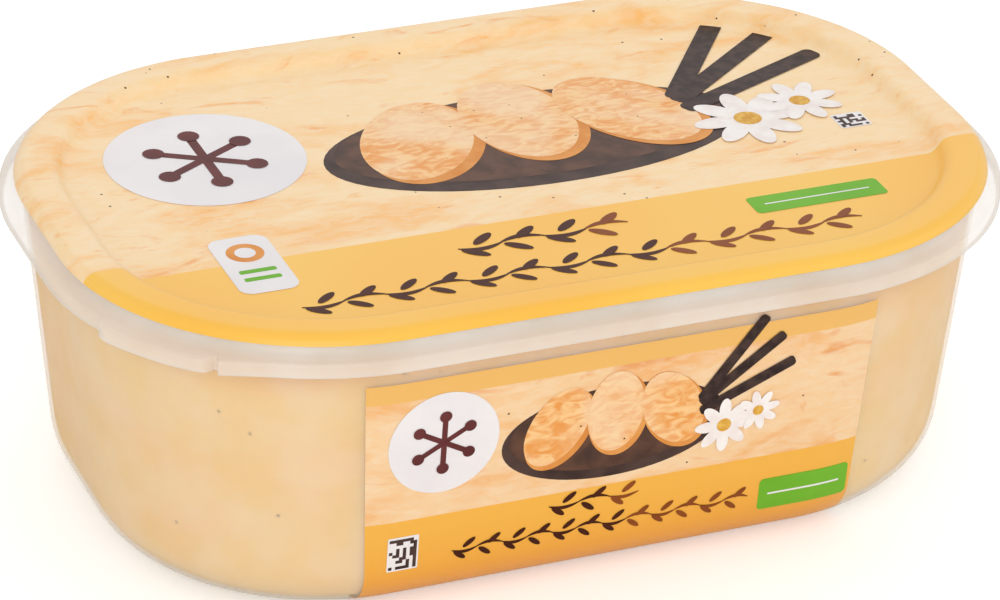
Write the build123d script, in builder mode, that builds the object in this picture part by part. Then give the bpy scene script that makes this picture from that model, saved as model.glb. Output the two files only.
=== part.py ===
"""One-litre ice cream tub: a moulded tub, its contents, a press-on lid and three printed film labels.

The origin is the middle of the tub's resting face, +X runs along the tub and the front faces -Y.
Cross-sections are drawn from the lid's outline: "inset" is measured inwards from it, and heights
are measured from the resting face.
"""
from build123d import *
import os
from math import cos, radians, sin, tan

# --- driving dimensions, in millimetres and degrees -----------------------------------------
lid_length = 190.0
lid_width = 126.7
lid_corner_radius = 52.4
wall = 0.8                      # moulded polypropylene, tub and lid alike
film = 0.15                     # printed film, moulded flush into the surface

wall_slope = 5.48               # draft of the tub's sides
base_round = 12.25              # rounded edge between side and base
floor_thickness = 1.4
base_recess_depth = 0.6
base_recess_inset = 20.0        # from the base's outline to the recess
gate_mark_radius = 2.5
gate_mark_height = 0.35

skirt_foot = 57.1               # heights on the lid
lip_top = 59.8
shoulder_height = 62.2          # where the lid's print begins
crown_height = 64.2
panel_height = 61.2
shoulder_inset = 2.75           # insets on the lid
crown_outer_inset = 5.4
crown_inner_inset = 9.0
panel_inset = 14.0
snap_bead_height = 57.8
snap_bead_inset = 1.35

tub_inset_at_foot = 4.17        # from the lid's outline to the tub's side, at the skirt's foot
tub_corner_radius_at_foot = 49.4
rim_height = 61.9
flange_inset = 1.1              # the tub's snap flange, inside the lid's skirt
flange_top = 59.0
flange_thickness = 0.7
fill_height = 58.7              # top of the ice cream

label_top = 52.1
label_left = -49.7              # side edges at the label's top
label_right = 52.8
label_lean = 2.4                # each side edge leans in with the tapered wall, in degrees

tab_start = 203.0               # finger tab, as angles about the front left corner's centre
tab_full = 207.0
tab_round_off = 227.5
tab_end = 229.8
tab_reach = 2.0                 # how far it stands out past the outline
flare_start = 231.0             # lip flare beside the tab
flare_end = 242.0
flare_reach = 1.9
groove_depth = 0.4              # finger groove in the skirt above the tab

# --- worked out from these ------------------------------------------------------------------
corner_x = lid_length / 2 - lid_corner_radius
corner_y = lid_width / 2 - lid_corner_radius
crown_drop = crown_height - shoulder_height
crown_radius = ((crown_outer_inset - shoulder_inset) ** 2 + crown_drop**2) / (2 * crown_drop)
slope_run = panel_inset - crown_inner_inset
slope_drop = crown_height - panel_height
slope_radius = (slope_run**2 + slope_drop**2) / (4 * slope_drop)
slope_per_mm = tan(radians(wall_slope))
rim_inset = tub_inset_at_foot - (rim_height - skirt_foot) * slope_per_mm
base_inset = tub_inset_at_foot + skirt_foot * slope_per_mm


def at(inset, height):
    """A point of a cross-section: local x points outwards, local y up."""
    return (-inset, height)


def about_corner(reach, angle):
    """A plan point `reach` outside the lid's outline, at an angle about the front left corner."""
    radius = lid_corner_radius + reach
    turn = radians(angle)
    return (-corner_x + radius * cos(turn), -corner_y + radius * sin(turn))


def corner_arc(reach, start, end):
    """An arc round the front left corner, parallel to the lid's outline, on the current line."""
    return ThreePointArc(
        about_corner(reach, start),
        about_corner(reach, (start + end) / 2),
        about_corner(reach, end),
    )


def crown_points(depth):
    """The crown's turning points in section, `depth` under the printed face, from shoulder to panel."""
    round_centre = Vector(*at(crown_outer_inset, crown_height - crown_radius))
    to_shoulder = Vector(*at(shoulder_inset, shoulder_height)) - round_centre
    crest_centre = Vector(*at(crown_inner_inset, crown_height - slope_radius))
    foot_centre = Vector(*at(panel_inset, panel_height + slope_radius))
    between = (foot_centre - crest_centre).normalized()
    return (
        round_centre + to_shoulder.normalized() * (crown_radius - depth),
        Vector(*at(crown_outer_inset, crown_height - depth)),
        Vector(*at(crown_inner_inset, crown_height - depth)),
        crest_centre + between * (slope_radius - depth),
        Vector(*at(panel_inset, panel_height - depth)),
    )


def crown_line(depth):
    """The lid's upper face in section, `depth` under the print: over the crown and down to the panel."""
    shoulder, crest_out, crest_in, middle, foot = crown_points(depth)
    TangentArc(crest_out, shoulder, tangent=(1, 0))
    Line(crest_out, crest_in)
    TangentArc(crest_in, middle, tangent=(-1, 0))
    TangentArc(foot, middle, tangent=(1, 0))


def film_section():
    """The lid label's cross-section, a skin of even thickness under the printed face."""
    with BuildSketch() as section:
        with BuildLine():
            crown_line(0)
            crown_line(film)
            Line(crown_points(0)[0], crown_points(film)[0])
            Line(crown_points(0)[-1], crown_points(film)[-1])
        make_face()
    return section.sketch


def lid_section():
    """The lid's cross-section outside its flat panel: lip, coved skirt and crown, under the film."""
    under_crown = crown_points(wall)[0]
    with BuildSketch() as section:
        with BuildLine():
            crown_line(film)
            Line(crown_points(film)[-1], crown_points(wall)[-1])
            crown_line(wall)
            ThreePointArc(under_crown, at(2.55, 60.1), at(wall, 59.25))
            Polyline(
                at(wall, 59.25),
                at(wall, snap_bead_height + 0.5),
                at(snap_bead_inset, snap_bead_height),
                at(wall, skirt_foot + 0.1),
                at(wall - 0.1, skirt_foot),
                at(0.15, skirt_foot),
                at(0, skirt_foot + 0.15),
                at(0, lip_top - 0.1),
                at(0.1, lip_top),
            )
            ThreePointArc(at(0.1, lip_top), at(0.3, 59.95), at(0.55, 60.05))
            ThreePointArc(at(0.55, 60.05), at(2.0, 60.75), at(shoulder_inset, shoulder_height))
            Line(at(shoulder_inset, shoulder_height), crown_points(film)[0])
        make_face()
    return section.sketch


def round_the_lid(section):
    """A cross-section carried right round the lid's outline: four sides and four corners."""
    with BuildPart() as ring:
        for turn, (side_x, side_y) in zip((0, 90, 180, 270), ((1, 1), (-1, 1), (-1, -1), (1, -1))):
            outward = Vector(cos(radians(turn)), sin(radians(turn)), 0)
            facing = Vector(sin(radians(turn)), -cos(radians(turn)), 0)
            centre = Vector(side_x * corner_x, side_y * corner_y, 0)
            with BuildSketch(Plane(centre + outward * lid_corner_radius, x_dir=outward, z_dir=facing)):
                add(section)
            revolve(axis=Axis(centre, (0, 0, 1)), revolution_arc=90)
            side_middle = outward * (lid_length / 2 if turn % 180 == 0 else lid_width / 2)
            half_side = corner_y if turn % 180 == 0 else corner_x
            with BuildSketch(Plane(side_middle, x_dir=outward, z_dir=facing)):
                add(section)
            extrude(amount=half_side, both=True)
    return ring.part


def rounded_plate(inset, bottom, thickness):
    """A flat plate with the lid's rounded outline, moved in by `inset`."""
    with BuildPart() as plate:
        with BuildSketch(Plane.XY.offset(bottom)):
            RectangleRounded(lid_length - 2 * inset, lid_width - 2 * inset, lid_corner_radius - inset)
        extrude(amount=thickness)
    return plate.part


def tub_form(inset, floor, top):
    """The tub's tapered form with its rounded base edge, or one parallel to it inside."""
    move_in = inset - (top - skirt_foot) * slope_per_mm
    length = lid_length - 2 * (tub_inset_at_foot + move_in)
    width = lid_width - 2 * (tub_inset_at_foot + move_in)
    with BuildPart() as form:
        with BuildSketch(Plane.XY.offset(top)):
            RectangleRounded(length, width, tub_corner_radius_at_foot - move_in)
        extrude(amount=floor - top, taper=wall_slope)
        fillet(form.faces().sort_by(Axis.Z)[0].edges(), base_round - inset)
    return form.part


def wall_label(facing):
    """A printed film flush in one long wall (facing -1 front, +1 back), down round the base edge."""
    side = -label_left if facing > 0 else label_right
    other = label_right if facing > 0 else -label_left
    lean = label_top * tan(radians(label_lean))
    with BuildPart() as label:
        add(tub_form(0, 0, rim_height))
        add(tub_form(film, film, rim_height + 1), mode=Mode.SUBTRACT)
        with BuildSketch(Plane.XZ):
            with BuildLine():
                Polyline(
                    (-other, label_top),
                    (side, label_top),
                    (side - lean, 0),
                    (lean - other, 0),
                    close=True,
                )
            make_face()
        extrude(amount=-facing * lid_width, mode=Mode.INTERSECT)
        # the film ends where the base turns flat
        with BuildSketch():
            Rectangle(lid_length, lid_width - 2 * (base_inset + base_round))
        extrude(amount=film * 2, mode=Mode.SUBTRACT)
    return label.part


# --- printed films --------------------------------------------------------------------------
with BuildPart() as lid_label:
    add(round_the_lid(film_section()))
    add(rounded_plate(panel_inset, panel_height - film, film))

with BuildPart() as front_label:
    add(wall_label(-1))

with BuildPart() as back_label:
    add(wall_label(1))

# --- the tub --------------------------------------------------------------------------------
with BuildPart() as tub:
    add(tub_form(0, 0, rim_height))
    add(tub_form(wall, floor_thickness, rim_height + 1), mode=Mode.SUBTRACT)
    # the snap flange stands out round the tub, just under the lid's cove
    flange = rounded_plate(flange_inset, flange_top - flange_thickness, flange_thickness)
    add(flange - tub_form(wall / 2, floor_thickness, rim_height + 1))
    # a shallow recess leaves a flat ring to stand on, with the gate mark in its middle
    with BuildSketch():
        RectangleRounded(
            lid_length - 2 * (base_inset + base_recess_inset),
            lid_width - 2 * (base_inset + base_recess_inset),
            lid_corner_radius - base_inset - base_recess_inset,
        )
    extrude(amount=base_recess_depth, taper=45, mode=Mode.SUBTRACT)
    with BuildSketch(Plane.XY.offset(base_recess_depth)):
        Circle(gate_mark_radius)
    extrude(amount=-gate_mark_height, taper=20)
    add(front_label.part, mode=Mode.SUBTRACT)
    add(back_label.part, mode=Mode.SUBTRACT)

# --- the ice cream, cast to the tub's inside --------------------------------------------------
with BuildPart() as ice_cream:
    add(tub_form(wall, floor_thickness, fill_height))

# --- the lid --------------------------------------------------------------------------------
with BuildPart() as lid:
    add(round_the_lid(lid_section()))
    add(rounded_plate(panel_inset, panel_height - wall, wall - film))
    # the finger tab: the lip steps out past the outline at the front left corner
    with BuildSketch(Plane.XY.offset(skirt_foot)):
        with BuildLine():
            rise = ThreePointArc(
                about_corner(-0.4, tab_start),
                about_corner(1.2, (tab_start + tab_full) / 2 - 0.6),
                about_corner(tab_reach, tab_full),
            )
            brink = corner_arc(tab_reach, tab_full, tab_round_off)
            tip = ThreePointArc(
                about_corner(tab_reach, tab_round_off),
                about_corner(tab_reach * 0.75, tab_end - 0.6),
                about_corner(0.3, tab_end),
            )
            heel = Line(about_corner(0.3, tab_end), about_corner(-0.4, tab_end))
            root = corner_arc(-0.4, tab_end, tab_start)
        make_face()
    extrude(amount=lip_top - skirt_foot + 0.15)
    with BuildSketch(Plane.XY.offset(skirt_foot)):
        with BuildLine():
            inner_brink = corner_arc(tab_reach - wall, tab_full, tab_round_off)
            near_end = Line(inner_brink @ 1, about_corner(-wall - 0.1, tab_round_off))
            inner_root = corner_arc(-wall - 0.1, tab_round_off, tab_full)
            far_end = Line(inner_root @ 1, inner_brink @ 0)
        make_face()
    extrude(amount=lip_top - skirt_foot - wall, mode=Mode.SUBTRACT)
    # beside the tab the lip flares out and fades back into the outline
    with BuildSketch(Plane.XY.offset(skirt_foot)):
        with BuildLine():
            step = Line(about_corner(-0.4, flare_start), about_corner(flare_reach, flare_start))
            flare = ThreePointArc(
                step @ 1,
                about_corner(flare_reach * 0.42, (flare_start + flare_end) / 2),
                about_corner(0, flare_end),
            )
            join = Line(flare @ 1, about_corner(-0.4, flare_end))
            back = corner_arc(-0.4, flare_end, flare_start)
        make_face()
    extrude(amount=lip_top - skirt_foot)
    # the finger groove is cut into the coved skirt above the tab
    tab_turn = Vector(cos(radians(tab_start)), sin(radians(tab_start)), 0)
    groove_facing = Vector(sin(radians(tab_start)), -cos(radians(tab_start)), 0)
    corner_centre = Vector(-corner_x, -corner_y, 0)
    groove_start = corner_centre + tab_turn * lid_corner_radius
    with BuildSketch(Plane(groove_start, x_dir=tab_turn, z_dir=groove_facing)):
        with BuildLine():
            ThreePointArc(
                at(0.7, 60.1),
                at(2.0 + 0.7 * groove_depth, 60.75 - 0.7 * groove_depth),
                at(shoulder_inset - 0.1, 61.9),
            )
            Polyline(at(shoulder_inset - 0.1, 61.9), at(0.7, 61.9), at(0.7, 60.1))
        make_face()
    revolve(axis=Axis(corner_centre, (0, 0, 1)), revolution_arc=tab_end - tab_start, mode=Mode.SUBTRACT)

# --- write one file for each piece ------------------------------------------------------------
os.makedirs("parts", exist_ok=True)
pieces = {
    "tub": tub,
    "ice_cream": ice_cream,
    "lid": lid,
    "lid_label": lid_label,
    "front_label": front_label,
    "back_label": back_label,
}
for name, piece in pieces.items():
    piece.part.label = name
    export_step(piece.part, f"parts/{name}.step")
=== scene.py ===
import math
import random

import bmesh
import bpy
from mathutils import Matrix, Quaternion, Vector


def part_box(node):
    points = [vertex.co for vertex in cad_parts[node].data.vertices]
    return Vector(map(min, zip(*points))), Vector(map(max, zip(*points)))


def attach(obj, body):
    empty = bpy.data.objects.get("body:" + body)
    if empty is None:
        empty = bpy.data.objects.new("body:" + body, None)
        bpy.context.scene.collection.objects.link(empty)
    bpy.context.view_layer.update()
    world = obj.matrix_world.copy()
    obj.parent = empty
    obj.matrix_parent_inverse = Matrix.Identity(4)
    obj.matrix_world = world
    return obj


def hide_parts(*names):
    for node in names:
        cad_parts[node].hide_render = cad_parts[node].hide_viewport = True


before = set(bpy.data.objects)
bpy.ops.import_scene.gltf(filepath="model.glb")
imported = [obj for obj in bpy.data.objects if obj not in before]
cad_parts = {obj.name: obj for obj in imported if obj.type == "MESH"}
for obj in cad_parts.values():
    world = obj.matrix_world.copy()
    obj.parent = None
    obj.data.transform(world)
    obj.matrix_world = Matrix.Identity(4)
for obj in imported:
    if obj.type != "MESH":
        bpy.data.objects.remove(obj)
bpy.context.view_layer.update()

# --- sizes in millimetres, heights from the resting face, insets in from the lid's outline ----
MM = 0.001
lid_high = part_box("lid")[1]
half_length = lid_high.x / MM
half_width = lid_high.y / MM
crown_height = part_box("lid_label")[1].z / MM
corner_radius = 52.4
shoulder_inset = 2.75
shoulder_height = 62.2
crown_outer, crown_inner = 5.4, 9.0
panel_inset, panel_height = 14.0, 61.2
tub_inset_at_foot, skirt_foot = 4.17, 57.1
tub_radius_at_foot = 49.4
wall_slope = math.radians(5.48)
base_round = 12.25
label_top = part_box("front_label")[1].z / MM
label_left, label_right = -49.7, 52.8
label_lean = math.tan(math.radians(2.4))
print_boundary = -21.8                # where the lid's golden field meets the cream one
wall_picture_low, wall_picture_high = 21.4, 48.0
speck_field_seed = 7
smooth_below_angle = math.radians(35)

# --- the finger tab, in degrees round the front left corner, and how far it stands out ---------
tab_start, tab_end = 203.0, 229.9
tab_rise, tab_fall = 4.0, 2.2         # degrees over which the tab's ends round off
tab_depth = 2.0
flare_start, flare_end = 231.0, 243.0
flare_depth = 1.9
lip_top = 60.1                        # below this height the lip follows the tab
lip_inner = 1.0

random.seed(speck_field_seed)
print_lift = 0.015                    # each print layer lies this far above the one below


# --- small helpers ----------------------------------------------------------------------------
def colour(hex_code):
    """An sRGB hex colour as linear RGBA."""
    parts = [int(hex_code[i:i + 2], 16) / 255 for i in (1, 3, 5)]
    return [c / 12.92 if c <= 0.04045 else ((c + 0.055) / 1.055) ** 2.4 for c in parts] + [1.0]


def add_node(material, kind, links=(), **settings):
    """Adds a shader node; settings name its properties or sockets, links are (socket, output)."""
    node = material.node_tree.nodes.new(kind)
    for name, value in settings.items():
        if hasattr(node, name):
            setattr(node, name, value)
        else:
            node.inputs[name.replace("_", " ")].default_value = value
    for socket, output in links:
        material.node_tree.links.new(node.inputs[socket], output)
    return node


def new_material(name, **settings):
    """A Principled material with uniform values set on the shader's own sockets."""
    material = bpy.data.materials.new(name)
    material.use_nodes = True
    shader = material.node_tree.nodes["Principled BSDF"]
    for socket, value in settings.items():
        shader.inputs[socket.replace("_", " ")].default_value = value
    return material, shader


def blend_colours(material, factor, low, high):
    """Mixes two colours by a factor; each is a hex colour or another node's output."""
    mix = add_node(material, "ShaderNodeMix", data_type="RGBA")
    material.node_tree.links.new(mix.inputs[0], factor)
    for socket, value in ((mix.inputs[6], low), (mix.inputs[7], high)):
        if isinstance(value, str):
            socket.default_value = colour(value)
        else:
            material.node_tree.links.new(socket, value)
    return mix.outputs[2]


def remap(material, value, low, high):
    """Stretches a value smoothly to 0..1 between two limits."""
    node = add_node(material, "ShaderNodeMapRange", [("Value", value)], interpolation_type="SMOOTHSTEP")
    node.inputs["From Min"].default_value = low
    node.inputs["From Max"].default_value = high
    return node.outputs["Result"]


def place(material, axis):
    """One Object coordinate of the surface, in metres."""
    coordinates = add_node(material, "ShaderNodeTexCoord")
    split = add_node(material, "ShaderNodeSeparateXYZ", [("Vector", coordinates.outputs["Object"])])
    return split.outputs[axis]


def noise(material, size_mm, detail=3.0, distortion=0.0, stretch=(1, 1, 1)):
    """Noise whose blobs are about size_mm across, stretched by the given factors."""
    coordinates = add_node(material, "ShaderNodeTexCoord")
    mapping = add_node(material, "ShaderNodeMapping", [("Vector", coordinates.outputs["Object"])])
    mapping.inputs["Scale"].default_value = [1 / s for s in stretch]
    node = add_node(material, "ShaderNodeTexNoise", [("Vector", mapping.outputs["Vector"])],
                    Scale=1 / (size_mm * MM), Detail=detail, Distortion=distortion)
    return node.outputs["Fac"]


def link(material, output, shader, socket):
    """Joins a node's output to one of the shader's sockets."""
    material.node_tree.links.new(shader.inputs[socket], output)


def bump(material, shader, height, depth_mm, strength=0.6):
    """Gives the surface a fine relief, depth_mm deep."""
    node = add_node(material, "ShaderNodeBump", [("Height", height)], Strength=strength,
                    Distance=depth_mm * MM)
    link(material, node.outputs["Normal"], shader, "Normal")


def specks(material, spacing_mm, size):
    """Sparse small dots, 1 inside a dot."""
    coordinates = add_node(material, "ShaderNodeTexCoord")
    cells = add_node(material, "ShaderNodeTexVoronoi", [("Vector", coordinates.outputs["Object"])],
                     Scale=1 / (spacing_mm * MM))
    near = add_node(material, "ShaderNodeMath", [(0, cells.outputs["Distance"])], operation="LESS_THAN")
    near.inputs[1].default_value = size
    return near.outputs[0]


# --- materials ----------------------------------------------------------------------------------
def natural_polypropylene(name, haze, alpha):
    """Natural polypropylene, injection moulded: hazy and see-through, with a soft satin gloss."""
    material, shader = new_material(name, Roughness=0.32, IOR=1.49, Alpha=alpha, Coat_Weight=0.15,
                                    Coat_Roughness=0.2)
    tone = remap(material, noise(material, 14, 2), 0.3, 0.7)
    link(material, blend_colours(material, tone, haze, "#fbf4ea"), shader, "Base Color")
    bump(material, shader, noise(material, 5, 2), 0.15, 0.25)
    return material


def vanilla_ice_cream():
    """Churned vanilla ice cream against the wall: soft, matt and mottled, with a painted reflection making
    it paler near the bottom and painted shade, with painted warm bounce light, making it darker and more
    orange under the lid's skirt.
    """
    material, shader = new_material("vanilla_ice_cream", Roughness=0.6, Subsurface_Weight=0.25,
                                    Subsurface_Scale=0.004)
    shader.inputs["Subsurface Radius"].default_value = (1.0, 0.7, 0.4)
    mottling = noise(material, 26, 3, 0.6, (1.6, 1.6, 0.7))
    body = blend_colours(material, remap(material, mottling, 0.35, 0.68),
                         "#ffcd78", "#ffd890")
    # painted reflection: paler near the bottom, where the rounded base edge faces the white floor
    body = blend_colours(material, remap(material, place(material, "Z"), 0.012, 0.0), body, "#fbe2bd")
    # painted shade with painted warm bounce light: a darker orange band just under the lid's skirt
    body = blend_colours(material, remap(material, place(material, "Z"), 0.049, 0.0575), body, "#e8a550")
    body = blend_colours(material, specks(material, 7.0, 0.055), body, "#a08253")
    link(material, body, shader, "Base Color")
    bump(material, shader, noise(material, 3, 4), 0.2, 0.4)
    return material


def marbled_cream(material, light, warm, deep):
    """Printed picture of ripples of ice cream: pale cream with warm streaks and a few seeds."""
    streaks = remap(material, noise(material, 20, 6, 1.4, (1.8, 0.8, 0.8)), 0.44, 0.7)
    hot = remap(material, noise(material, 12, 5, 2.0, (2.0, 0.7, 0.7)), 0.58, 0.76)
    ripple = remap(material, noise(material, 2.4, 4, 1.0, (2.2, 0.8, 0.8)), 0.3, 0.75)
    field = blend_colours(material, streaks, light, warm)
    field = blend_colours(material, hot, field, deep)
    soft = add_node(material, "ShaderNodeMath", [(0, ripple)], operation="MULTIPLY")
    soft.inputs[1].default_value = 0.35
    field = blend_colours(material, soft.outputs[0], field, "#fff0d6")
    return blend_colours(material, specks(material, 6.0, 0.045), field, "#5a3a22")


def printed_lid_film():
    """Gloss-printed polypropylene film: a golden field in front, a marbled cream one behind."""
    material, shader = new_material("printed_lid_film", Roughness=0.34, IOR=1.42, Coat_Weight=0.1,
                                    Coat_Roughness=0.12)
    cream = marbled_cream(material, "#ffdca6", "#ffc271", "#f8a33c")
    drift = remap(material, noise(material, 60, 1), 0.3, 0.7)
    golden = blend_colours(material, drift, "#ffc148", "#ffcc58")
    edge = MM * print_boundary
    field = remap(material, place(material, "Y"), edge + 0.0001, edge - 0.0001)
    link(material, blend_colours(material, field, cream, golden), shader, "Base Color")
    bump(material, shader, noise(material, 9, 2), 0.12, 0.15)
    return material


def printed_wall_film():
    """Satin-printed polypropylene film: golden above and below a marbled cream picture band, with painted
    shade darkening the lower golden band towards the base edge.
    """
    material, shader = new_material("printed_wall_film", Roughness=0.3, IOR=1.49, Coat_Weight=0.3,
                                    Coat_Roughness=0.18)
    cream = marbled_cream(material, "#fbd09a", "#f8b66c", "#f09a40")
    # painted shade: the golden print darkens towards the base edge, where the rounded edge turns from the
    # light
    rise = remap(material, place(material, "Z"), 0.002, 0.02)
    golden = blend_colours(material, rise, "#f2a42e", "#fab83e")
    soft_edge = 0.1
    below = remap(material, place(material, "Z"), (wall_picture_low + soft_edge) * MM,
                  (wall_picture_low - soft_edge) * MM)
    above = remap(material, place(material, "Z"), (wall_picture_high - soft_edge) * MM,
                  (wall_picture_high + soft_edge) * MM)
    field = blend_colours(material, below, cream, golden)
    link(material, blend_colours(material, above, field, "#f6be62"), shader, "Base Color")
    bump(material, shader, noise(material, 8, 2), 0.1, 0.15)
    return material


def printing_ink(name, light, dark, grain_mm=6.0, roughness=0.4):
    """Printing ink under gloss film, faintly uneven so that it isn't a dead flat field."""
    material, shader = new_material(name, Roughness=roughness, IOR=1.35, Specular_IOR_Level=0.25)
    tone = remap(material, noise(material, grain_mm, 4), 0.3, 0.7)
    link(material, blend_colours(material, tone, light, dark), shader, "Base Color")
    return material


def printed_scoop():
    """A printed picture of craggy ice cream: pale ridges, orange hollows, dark seeds."""
    material, shader = new_material("printed_scoop", Roughness=0.34, IOR=1.38)
    crags = remap(material, noise(material, 2.6, 5, 1.6, (1.9, 0.9, 0.9)), 0.34, 0.66)
    broad = remap(material, noise(material, 16, 2, 0.4), 0.35, 0.65)
    body = blend_colours(material, crags, "#f2a04c", "#ffcf90")
    lit = add_node(material, "ShaderNodeMath", [(0, broad)], operation="MULTIPLY")
    lit.inputs[1].default_value = 0.6
    body = blend_colours(material, lit.outputs[0], body, "#ffe3bd")
    body = blend_colours(material, specks(material, 4.0, 0.05), body, "#4a2f1c")
    link(material, body, shader, "Base Color")
    return material


# --- outlines -------------------------------------------------------------------------------------
def rounded_outline(half_x, half_y, radius, corner_steps=36, side_steps=24):
    """Points anticlockwise round a rounded rectangle, in millimetres, the same number each time."""
    points = []
    for turn, (sx, sy) in zip(range(4), ((1, 1), (-1, 1), (-1, -1), (1, -1))):
        cx, cy = sx * (half_x - radius), sy * (half_y - radius)
        for i in range(corner_steps):
            angle = math.radians(90 * (turn + i / corner_steps))
            points.append((cx + radius * math.cos(angle), cy + radius * math.sin(angle)))
        end = math.radians(90 * (turn + 1))
        start_point = Vector((cx + radius * math.cos(end), cy + radius * math.sin(end)))
        nx, ny = ((-1, 1), (-1, -1), (1, -1), (1, 1))[turn]
        end_point = Vector((nx * (half_x - radius) + radius * math.cos(end),
                            ny * (half_y - radius) + radius * math.sin(end)))
        points += [tuple(start_point.lerp(end_point, i / side_steps)) for i in range(side_steps)]
    return points


def lid_outline(inset, corner_steps=36):
    """The lid's outline moved inwards; the lip takes more steps so that the tab's ends are fine."""
    return rounded_outline(half_length - inset, half_width - inset, corner_radius - inset, corner_steps)


def tub_outline(height, inset=0.0):
    """The tub's outline at a height, following the slope and the rounded base edge."""
    move = inset - (height - skirt_foot) * math.tan(wall_slope)
    radius = base_round - inset
    turn_height = inset + radius * (1 - math.sin(wall_slope))
    if height < turn_height:
        wall_move = inset - (turn_height - skirt_foot) * math.tan(wall_slope)
        rise = inset + radius - height
        run = math.sqrt(max(radius ** 2 - rise ** 2, 0.0))
        move = wall_move + radius * math.cos(wall_slope) - run
    total = tub_inset_at_foot + move
    return rounded_outline(half_length - total, half_width - total, tub_radius_at_foot - move)


def arc_points(centre, radius, start, end, steps):
    """Section points along an arc, angles in degrees."""
    return [(centre[0] + radius * math.cos(math.radians(start + (end - start) * i / steps)),
             centre[1] + radius * math.sin(math.radians(start + (end - start) * i / steps)))
            for i in range(steps + 1)]


# --- modelling --------------------------------------------------------------------------------------
def deselect_all():
    if bpy.context.object and bpy.context.object.mode == "EDIT":
        bpy.ops.object.mode_set(mode="OBJECT")
    bpy.ops.object.select_all(action="DESELECT")


def place_selected(piece, points, height):
    """Moves the selected ring of the mesh in edit mode to the given points."""
    mesh = bmesh.from_edit_mesh(piece.data)
    ring = sorted((v for v in mesh.verts if v.select), key=lambda v: v.index)
    for vertex, (x, y) in zip(ring, points):
        vertex.co = Vector((x, y, height)) * MM
    bmesh.update_edit_mesh(piece.data)


def ring_shell(name, rings, close_start=False, close_end=False):
    """Extrudes a circle ring by ring along an outline; rings are (points, height) from first to last."""
    deselect_all()
    count = len(rings[0][0])
    bpy.ops.mesh.primitive_circle_add(vertices=count, radius=half_width * MM, fill_type="NOTHING")
    piece = bpy.context.object
    piece.name = name
    bpy.ops.object.mode_set(mode="EDIT")
    bpy.ops.mesh.select_all(action="SELECT")
    place_selected(piece, *rings[0])
    if close_start:
        bpy.ops.mesh.edge_face_add()
        bpy.ops.mesh.inset(thickness=0.4 * MM)
        bpy.ops.mesh.select_all(action="DESELECT")
        mesh = bmesh.from_edit_mesh(piece.data)
        for edge in mesh.edges:
            if len(edge.link_faces) == 1:
                edge.select_set(True)
        bmesh.update_edit_mesh(piece.data)
    for points, height in rings[1:]:
        bpy.ops.mesh.extrude_edges_move()
        place_selected(piece, points, height)
    if close_end:
        bpy.ops.mesh.edge_face_add()
    bpy.ops.mesh.select_all(action="SELECT")
    bpy.ops.mesh.normals_make_consistent(inside=False)
    bpy.ops.object.mode_set(mode="OBJECT")
    bpy.ops.object.shade_smooth_by_angle(angle=smooth_below_angle)
    return piece


def finish_piece(piece, material, slot, *nodes):
    piece.data.materials.clear()
    piece.data.materials.append(material)
    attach(piece, "root")
    if nodes:
        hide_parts(*nodes)
    return piece


def crown_section(depth):
    """The lid's upper face from shoulder to panel, as (inset, height) points under the print."""
    drop = crown_height - shoulder_height
    round_radius = ((crown_outer - shoulder_inset) ** 2 + drop ** 2) / (2 * drop)
    run, fall = panel_inset - crown_inner, crown_height - panel_height
    slope_radius = (run ** 2 + fall ** 2) / (4 * fall)
    centre = (crown_outer, crown_height - round_radius)
    start = 180 - math.degrees(math.atan2(shoulder_height - centre[1], crown_outer - shoulder_inset))
    turn = math.degrees(math.asin(run / (2 * slope_radius)))
    section = arc_points(centre, round_radius - depth, start, 90, 9)
    section += arc_points((crown_inner, crown_height - slope_radius), slope_radius - depth,
                          90, 90 - turn, 6)
    section += arc_points((panel_inset, panel_height + slope_radius), slope_radius + depth,
                          270 - turn, 270, 6)[1:]
    return section


def tab_reach(x, y):
    """How far the lip stands out at a point: the finger tab and the flare beside it."""
    angle = math.degrees(math.atan2(y + half_width - corner_radius, x + half_length - corner_radius)) % 360
    if x > corner_radius - half_length or y > corner_radius - half_width:
        return 0.0
    if tab_start < angle < tab_end:
        grow = min((angle - tab_start) / tab_rise, 1.0)
        fade = min((tab_end - angle) / tab_fall, 1.0)
        return tab_depth * math.sqrt(max(grow * (2 - grow), 0)) * math.sqrt(max(fade * (2 - fade), 0))
    if flare_start <= angle < flare_end:
        return flare_depth * ((flare_end - angle) / (flare_end - flare_start)) ** 1.6
    return 0.0


def stand_out(points):
    """Pushes lip points outwards where the tab and the flare are."""
    moved = []
    for x, y in points:
        reach = tab_reach(x, y)
        if reach:
            away = Vector((x + half_length - corner_radius, y + half_width - corner_radius)).normalized()
            x, y = x + away.x * reach, y + away.y * reach
        moved.append((x, y))
    return moved


def build_lid(material):
    """The lid's outer skin: skirt, lip with the finger tab, cove, crown and the sunk panel."""
    outer = [(0.85, skirt_foot + 0.25), (0.7, skirt_foot), (0.15, skirt_foot), (0.0, skirt_foot + 0.15),
             (0.0, 59.65), (0.1, 59.85), (0.32, 59.97), (0.55, 60.05)]
    cove = arc_points((0.45, 62.45), 2.4, -88, -6, 9)
    crown = crown_section(0.14)
    rings = []
    for inset, height in outer + cove[1:-1] + crown:
        points = lid_outline(inset, 120)
        if height < lip_top and inset < lip_inner:
            points = stand_out(points)
        rings.append((points, height))
    lid = ring_shell("lid_shell", rings, close_end=True)
    return finish_piece(lid, material, "lid_plastic", "lid")


def build_tub(material):
    """The tapered tub with its rounded base edge and its inner wall."""
    heights = [0.0, 0.25, 0.8, 1.6, 2.6, 3.8, 5.2, 6.8, 8.4, 9.9, 11.2, 20, 30, 40, 50, skirt_foot, 61.9]
    rings = [(tub_outline(h), h) for h in heights]
    rings += [(tub_outline(h, 0.8), h) for h in (61.9, 56, 45, 30, 12.5)]
    return finish_piece(ring_shell("tub_shell", rings, close_start=True), material, "tub_plastic", "tub")


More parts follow.
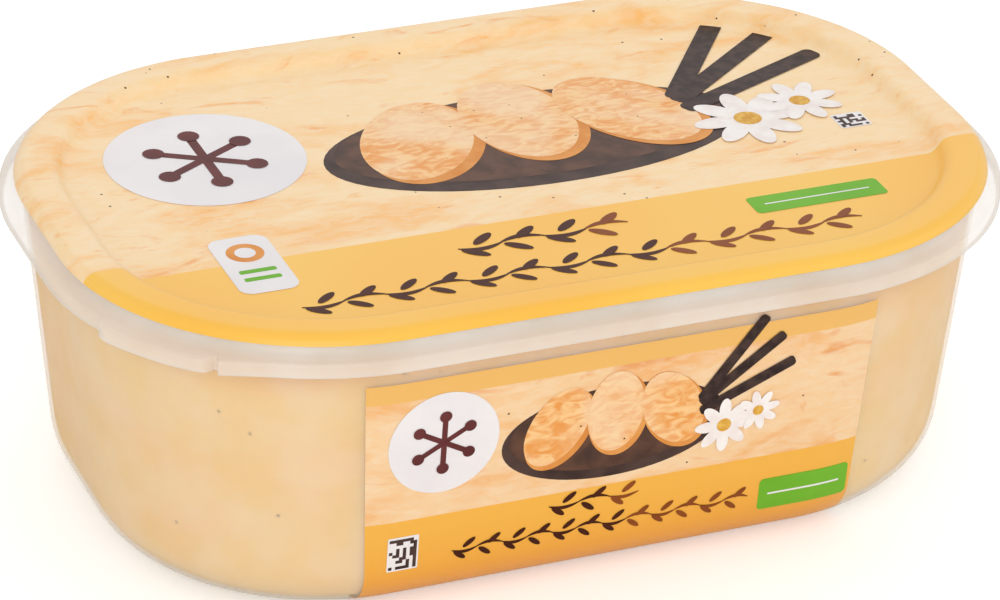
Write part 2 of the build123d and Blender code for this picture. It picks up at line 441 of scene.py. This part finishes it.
def build_ice_cream(material):
    """The ice cream, which reaches just into the wall so that no air gap shows."""
    heights = [1.4, 1.6, 2.1, 2.9, 4.0, 5.4, 7.0, 9.0, 11.4] + [14 + 3 * i for i in range(15)] + [58.7]
    rings = [(tub_outline(h, 0.7), h) for h in heights]
    piece = ring_shell("ice_cream_fill", rings, close_start=True, close_end=True)
    return finish_piece(piece, material, "ice_cream", "ice_cream")


def build_lid_film(material):
    """The printed film over the lid's crown and panel."""
    rings = [(lid_outline(inset), height) for inset, height in crown_section(0.0)]
    piece = ring_shell("lid_print", rings, close_end=True)
    return finish_piece(piece, material, "lid_print", "lid_label")


# --- the wall's printed side ------------------------------------------------------------------------
def wall_point(along, height, lift, facing):
    """A point on the long wall: `along` its outline from the middle, at a height, lifted outwards."""
    move = -(height - skirt_foot) * math.tan(wall_slope)
    turn_height = base_round * (1 - math.sin(wall_slope))
    if height < turn_height:
        wall_move = -(turn_height - skirt_foot) * math.tan(wall_slope)
        run = math.sqrt(max(base_round ** 2 - (base_round - height) ** 2, 0))
        move = wall_move + base_round * math.cos(wall_slope) - run
    total = tub_inset_at_foot + move - lift
    half_x, half_y = half_length - total, half_width - total
    radius = tub_radius_at_foot - move + lift
    straight = half_x - radius
    if abs(along) <= straight:
        x, y = along, -half_y
    else:
        angle = (abs(along) - straight) / radius
        x = math.copysign(straight + radius * math.sin(angle), along)
        y = -half_y + radius * (1 - math.cos(angle))
    return Vector((x, y, height)) * MM if facing < 0 else Vector((-x, -y, height)) * MM


def build_wall_film(name, facing, material, node):
    """The printed film on one long wall, a fine grid wrapped round the wall and its base edge."""
    columns, rows = 60, 44
    deselect_all()
    bpy.ops.mesh.primitive_grid_add(x_subdivisions=columns, y_subdivisions=rows, size=2)
    piece = bpy.context.object
    piece.name = name
    for vertex in piece.data.vertices:
        across, up = (vertex.co.x + 1) / 2, (vertex.co.y + 1) / 2
        height = label_top * up ** 1.5 + 0.02
        lean = (label_top - height) * label_lean
        low, high = label_left + lean, label_right - lean
        vertex.co = wall_point(low + (high - low) * across, height, print_lift, facing)
    bpy.ops.object.mode_set(mode="EDIT")
    bpy.ops.mesh.select_all(action="SELECT")
    bpy.ops.mesh.normals_make_consistent(inside=False)
    bpy.ops.object.mode_set(mode="OBJECT")
    if piece.data.polygons[0].normal.y * facing < 0:
        piece.data.flip_normals()
    bpy.ops.object.shade_smooth()
    return finish_piece(piece, material, "wall_print", node)


# --- printed motifs -----------------------------------------------------------------------------------
class PrintFace:
    """A face that print is laid on: the lid's flat panel, or a long wall."""

    def __init__(self, label, slot, facing=0):
        self.label, self.slot, self.facing, self.shapes = label, slot, facing, {}

    def lay(self, x, y, layer):
        lift = print_lift * (1.5 + layer)
        if self.facing == 0:
            return Vector((x, y, panel_height + lift)) * MM
        return wall_point(x, y, lift + print_lift, self.facing)


def print_shape(face, name, outline, layer, material):
    """Fills an outline, slices it finely so that it can follow the wall, and lays it on the face."""
    deselect_all()
    bpy.ops.mesh.primitive_circle_add(vertices=len(outline), radius=1, fill_type="NGON")
    piece = bpy.context.object
    piece.name = f"{face.label}_{name}"
    for vertex, (x, y) in zip(piece.data.vertices, outline):
        vertex.co = Vector((x, y, 0))
    bpy.ops.object.mode_set(mode="EDIT")
    if face.facing:
        for axis, normal in ((0, (1, 0, 0)), (1, (0, 1, 0))):
            low, high = min(p[axis] for p in outline), max(p[axis] for p in outline)
            step = 2.0
            for i in range(math.ceil(low / step), math.floor(high / step) + 1):
                bpy.ops.mesh.select_all(action="SELECT")
                bpy.ops.mesh.bisect(plane_co=[c * i * step for c in normal], plane_no=normal)
    bpy.ops.mesh.select_all(action="SELECT")
    bpy.ops.mesh.normals_make_consistent(inside=False)
    bpy.ops.object.mode_set(mode="OBJECT")
    if piece.data.polygons[0].normal.z < 0:
        piece.data.flip_normals()
    for vertex in piece.data.vertices:
        vertex.co = face.lay(vertex.co.x, vertex.co.y, layer)
    face.shapes.setdefault(material.name, []).append((piece, material))


def join_shapes(face):
    """Joins all shapes of one ink on one face into a single piece."""
    for shapes in face.shapes.values():
        deselect_all()
        for piece, material in shapes:
            piece.select_set(True)
        bpy.context.view_layer.objects.active = shapes[0][0]
        bpy.ops.object.join()
        piece, material = shapes[0]
        piece.name = f"{face.label}_{material.name}"
        finish_piece(piece, material, face.slot)


def oval(x, y, half_x, half_y, turn=0.0, steps=64):
    cos, sin = math.cos(math.radians(turn)), math.sin(math.radians(turn))
    ring = [(half_x * math.cos(2 * math.pi * i / steps), half_y * math.sin(2 * math.pi * i / steps))
            for i in range(steps)]
    return [(x + a * cos - b * sin, y + a * sin + b * cos) for a, b in ring]


def rounded_box(x, y, half_x, half_y, radius, turn=0.0):
    cos, sin = math.cos(math.radians(turn)), math.sin(math.radians(turn))
    ring = rounded_outline(half_x, half_y, radius, 8, 2)
    return [(x + a * cos - b * sin, y + a * sin + b * cos) for a, b in ring]


def ribbon(line, width):
    """An outline that follows a line of points with a swelling width, like a pen stroke."""
    left, right = [], []
    for i, (x, y) in enumerate(line):
        before, after = line[max(i - 1, 0)], line[min(i + 1, len(line) - 1)]
        along = Vector((after[0] - before[0], after[1] - before[1])).normalized()
        half = width * (0.25 + 0.75 * math.sin(math.pi * i / (len(line) - 1))) / 2
        left.append((x - along.y * half, y + along.x * half))
        right.append((x + along.y * half, y - along.x * half))
    return left + right[::-1]


def print_artwork(face, inks, scale, centre, badge, plaque, vines):
    """The generic picture and ornament: a boat dish of oval scoops, wafer sticks and daisies."""
    cx, cy = centre
    print_shape(face, "dish", oval(cx, cy - 1.5 * scale, 33 * scale, 15 * scale), 0, inks["dish"])
    print_shape(face, "dish_inside", oval(cx, cy, 31 * scale, 13.4 * scale), 1, inks["dish_inside"])
    for i, (dx, dy, turn) in enumerate(((-17, 3, 62), (0, 5, 90), (17, 3, 118))):
        shade = oval(cx + (dx + 0.8) * scale, cy + (dy - 1.2) * scale, 13.4 * scale, 9.0 * scale, turn)
        scoop = oval(cx + dx * scale, cy + dy * scale, 13 * scale, 8.4 * scale, turn)
        print_shape(face, f"scoop_shade_{i}", shade, 2 + 2 * i, inks["shade"])
        print_shape(face, f"scoop_{i}", scoop, 3 + 2 * i, inks["scoop"])
    for i, (dx, dy, turn) in enumerate(((37, 12, 38), (39, 6, 24), (34, 16, 54))):
        print_shape(face, f"stick_{i}", rounded_box(cx + dx * scale, cy + dy * scale, 15 * scale,
                                                    1.7 * scale, 1.2 * scale, turn), 9 + i, inks["stick"])
    for i, (dx, dy, size) in enumerate(((33, -6, 1.2), (43, -3, 0.9))):
        for k in range(8):
            angle = math.radians(45 * k + 12 * i)
            reach = 4.2 * size * scale
            petal_x = cx + dx * scale + reach * math.cos(angle)
            petal_y = cy + dy * scale + reach * math.sin(angle)
            petal = oval(petal_x, petal_y, 3.1 * size * scale, 1.5 * size * scale, math.degrees(angle), 20)
            print_shape(face, f"daisy_{i}_petal_{k}", petal, 12 + 3 * i + k % 2, inks["petal"])
        print_shape(face, f"daisy_{i}_eye", oval(cx + dx * scale, cy + dy * scale, 1.8 * size * scale,
                                                 1.8 * size * scale, 0, 20), 14 + 3 * i, inks["daisy_eye"])
    bx, by, half_x, half_y = badge
    print_shape(face, "badge", oval(bx, by, half_x, half_y, 0, 96), 3, inks["white"])
    for k in range(6):
        angle = math.radians(30 + 60 * k)
        arm = half_y * 0.52
        arm_shape = rounded_box(bx + arm / 2 * math.cos(angle), by + arm / 2 * math.sin(angle),
                                arm / 2, 0.05 * half_y, 0.04 * half_y, math.degrees(angle))
        print_shape(face, f"flake_arm_{k}", arm_shape, 4 + k, inks["emblem"])
        tip = oval(bx + arm * math.cos(angle), by + arm * math.sin(angle), 0.11 * half_y, 0.11 * half_y,
                   0, 16)
        print_shape(face, f"flake_tip_{k}", tip, 10, inks["emblem"])
    px, py, half_x, half_y = plaque
    print_shape(face, "plaque", rounded_box(px, py, half_x, half_y, 1.0), 2, inks["green"])
    print_shape(face, "plaque_line", rounded_box(px, py, half_x * 0.8, 0.2, 0.15), 3, inks["white"])
    for line_start, line_middle, length, size, ink_names in vines:
        print_vine(face, line_start, line_middle, length, size, [inks[n] for n in ink_names])


def print_vine(face, start, middle, length, size, ink_pair):
    """A waving stem with leaves on both sides, where the pack has its lettering."""
    count = max(round(length / (size * 1.15)), 2)
    pitch = length / count
    for k in range(count):
        ink = ink_pair[0] if k < count * 0.58 else ink_pair[1]
        left, side = start + pitch * k, 1 if k % 2 else -1
        line = [(left + pitch * 1.03 * t, middle + side * size * 0.16 * math.sin(math.pi * t))
                for t in (i / 10 for i in range(11))]
        name = f"vine_{round(middle)}_{k}".replace("-", "m")
        print_shape(face, name, ribbon(line, size * 0.17), 2 + k % 2, ink)
        for up in (1, -1):
            print_shape(face, f"{name}_leaf_{up + 1}",
                        oval(left + pitch * 0.5 + up * pitch * 0.18, middle + up * size * 0.3,
                             size * 0.36, size * 0.13, up * 38, 20), 4 + k % 2, ink)


def print_tag(face, x, y, inks):
    """A plain white tag with a ring and two lines, where the pack has a rating."""
    print_shape(face, "tag", rounded_box(x, y, 5.8, 11.0, 2.6), 3, inks["white"])
    print_shape(face, "tag_ring", oval(x, y + 4.6, 3.6, 3.6, 0, 40), 4, inks["shade"])
    print_shape(face, "tag_ring_middle", oval(x, y + 4.6, 2.0, 2.0, 0, 32), 5, inks["white"])
    for k in (0, 1):
        line = rounded_box(x, y - 2.6 - 3.0 * k, 3.6, 0.7, 0.5)
        print_shape(face, f"tag_line_{k}", line, 4, inks["green"])


def print_speckled_square(face, left, low, width, height, inks):
    """A small white square with dark blocks strewn over it, where the pack has a code."""
    print_shape(face, "square", rounded_box(left + width / 2, low + height / 2, width / 2, height / 2, 0.3),
                2, inks["white"])
    cell = width / 9
    for column in range(8):
        for row in range(round(height / cell) - 1):
            if random.random() < 0.46:
                print_shape(face, f"block_{column}_{row}",
                            rounded_box(left + cell * (column + 1), low + cell * (row + 1),
                                        cell * 0.5, cell * 0.5, cell * 0.05), 3, inks["dish"])


# --- camera, light and floor ----------------------------------------------------------------------------
def set_up_camera():
    """A long lens a little above the lid, turned to the front left corner."""
    azimuth, elevation, roll = math.radians(-22.742), math.radians(28.394), math.radians(1.844)
    distance = 0.8978
    target = Vector((-7.35, -17.86, 42.16)) * MM
    away = Vector((math.sin(azimuth) * math.cos(elevation), -math.cos(azimuth) * math.cos(elevation),
                   math.sin(elevation)))
    data = bpy.data.cameras.new("camera")
    data.lens, data.sensor_width = 170.0, 36.0
    data.clip_start = 0.05
    camera = bpy.data.objects.new("camera", data)
    bpy.context.scene.collection.objects.link(camera)
    camera.location = target + away * distance
    camera.rotation_mode = "QUATERNION"
    camera.rotation_quaternion = (-away).to_track_quat("-Z", "Y") @ Quaternion((0, 0, 1), roll)
    bpy.context.scene.camera = camera


def add_lamp(name, place_m, size, power, tint="#ffffff"):
    data = bpy.data.lights.new(name, "AREA")
    data.shape, data.size, data.energy = "SQUARE", size, power
    data.color = colour(tint)[:3]
    lamp = bpy.data.objects.new(name, data)
    bpy.context.scene.collection.objects.link(lamp)
    lamp.location = place_m
    lamp.rotation_euler = (Vector((0, 0, 0.03)) - Vector(place_m)).to_track_quat("-Z", "Y").to_euler()


def seen_directly(tree):
    """1 for camera, mirror and see-through rays, which see the white backdrop."""
    rays = tree.nodes.new("ShaderNodeLightPath")
    seen = tree.nodes.new("ShaderNodeMath")
    seen.operation = "MAXIMUM"
    both = tree.nodes.new("ShaderNodeMath")
    both.operation = "MAXIMUM"
    tree.links.new(seen.inputs[0], rays.outputs["Is Camera Ray"])
    tree.links.new(seen.inputs[1], rays.outputs["Is Glossy Ray"])
    tree.links.new(both.inputs[0], seen.outputs[0])
    tree.links.new(both.inputs[1], rays.outputs["Is Transmission Ray"])
    return both.outputs[0]


def set_up_stage():
    world = bpy.data.worlds.new("studio")
    bpy.context.scene.world = world
    world.use_nodes = True
    tree = world.node_tree
    light = tree.nodes["Background"]
    light.inputs["Color"].default_value = colour("#ffffff")
    light.inputs["Strength"].default_value = 0.74
    backdrop = tree.nodes.new("ShaderNodeBackground")
    backdrop.inputs["Color"].default_value = colour("#ffffff")
    mix = tree.nodes.new("ShaderNodeMixShader")
    tree.links.new(mix.inputs[0], seen_directly(tree))
    tree.links.new(mix.inputs[1], light.outputs[0])
    tree.links.new(mix.inputs[2], backdrop.outputs[0])
    tree.links.new(tree.nodes["World Output"].inputs["Surface"], mix.outputs[0])

    deselect_all()
    bpy.ops.mesh.primitive_plane_add(size=6)
    floor = bpy.context.object
    floor.name = "floor"
    material, shader = new_material("pale_floor", Roughness=0.9)
    shader.inputs["Base Color"].default_value = colour("#f4f4f4")
    shader.inputs["Emission Color"].default_value = colour("#ffffff")
    rays = add_node(material, "ShaderNodeLightPath")
    glow = add_node(material, "ShaderNodeMath", [(0, rays.outputs["Is Camera Ray"])], operation="MULTIPLY")
    glow.inputs[1].default_value = 0.35
    link(material, glow.outputs[0], shader, "Emission Strength")
    floor.data.materials.append(material)
    add_lamp("key_softbox", (-0.45, -1.0, 0.5), 0.7, 3.4, "#fffaf2")
    add_lamp("back_softbox", (0.3, 0.8, 0.8), 0.9, 1.0)
    add_lamp("right_fill", (0.9, -0.4, 0.4), 0.6, 0.8)
    bpy.context.scene.view_settings.view_transform = "Standard"


# --- put it together --------------------------------------------------------------------------------------
set_up_camera()
set_up_stage()
tub_plastic = natural_polypropylene("tub_polypropylene", "#f8e8c8", 0.36)
lid_plastic = natural_polypropylene("lid_polypropylene", "#f4e8da", 0.62)
build_tub(tub_plastic)
build_ice_cream(vanilla_ice_cream())
build_lid(lid_plastic)
build_lid_film(printed_lid_film())
wall_film = printed_wall_film()
build_wall_film("wall_print_front", -1, wall_film, "front_label")
build_wall_film("wall_print_back", 1, wall_film, "back_label")

inks = {
    "dish": printing_ink("dark_dish_ink", "#3b2a26", "#54403a"),
    "dish_inside": printing_ink("dish_inside_ink", "#6b4a3a", "#4a352d"),
    "shade": printing_ink("scoop_shade_ink", "#e08f42", "#eda55a"),
    "scoop": printed_scoop(),
    "stick": printing_ink("chocolate_stick_ink", "#2f2220", "#4d3a34", 2.0),
    "petal": printing_ink("petal_ink", "#f7ece8", "#fffaf6", 3.0),
    "daisy_eye": printing_ink("daisy_eye_ink", "#d99a35", "#efc25e", 1.0),
    "white": printing_ink("white_ink", "#efeaec", "#f7f3f3", 20.0),
    "emblem": printing_ink("maroon_ink", "#5e2c2c", "#6e3636"),
    "green": printing_ink("leaf_green_ink", "#6fb42c", "#79bd35", 20.0),
    "brown": printing_ink("dark_brown_ink", "#42190b", "#4d2110"),
    "light_brown": printing_ink("light_brown_ink", "#87451b", "#914d20"),
}
two_browns = ("brown", "light_brown")
lid_face = PrintFace("lid", "lid_print")
print_artwork(lid_face, inks, 1.3, (10, 11), (-53.4, 20.5, 19.5, 19.5), (51.7, -31.2, 13.7, 3.3),
              [(-21, -29.5, 34, 8.0, two_browns), (-56, -41.5, 112, 7.0, two_browns)])
print_tag(lid_face, -58.8, -22.9, inks)
print_speckled_square(lid_face, 68.8, -6.7, 6.5, 6.0, inks)
join_shapes(lid_face)
for label, facing in (("front", -1), ("back", 1)):
    wall_face = PrintFace(label, "wall_print", facing)
    print_artwork(wall_face, inks, 0.68, (0, 34.5), (-34, 37.6, 10.8, 11.0), (40.9, 12.3, 9.5, 3.6),
                  [(-12, 18.6, 18, 4.6, two_browns), (-31, 12.6, 60, 4.2, two_browns)])
    print_speckled_square(wall_face, -43.8, 10.2, 6.1, 7.6, inks)
    join_shapes(wall_face)
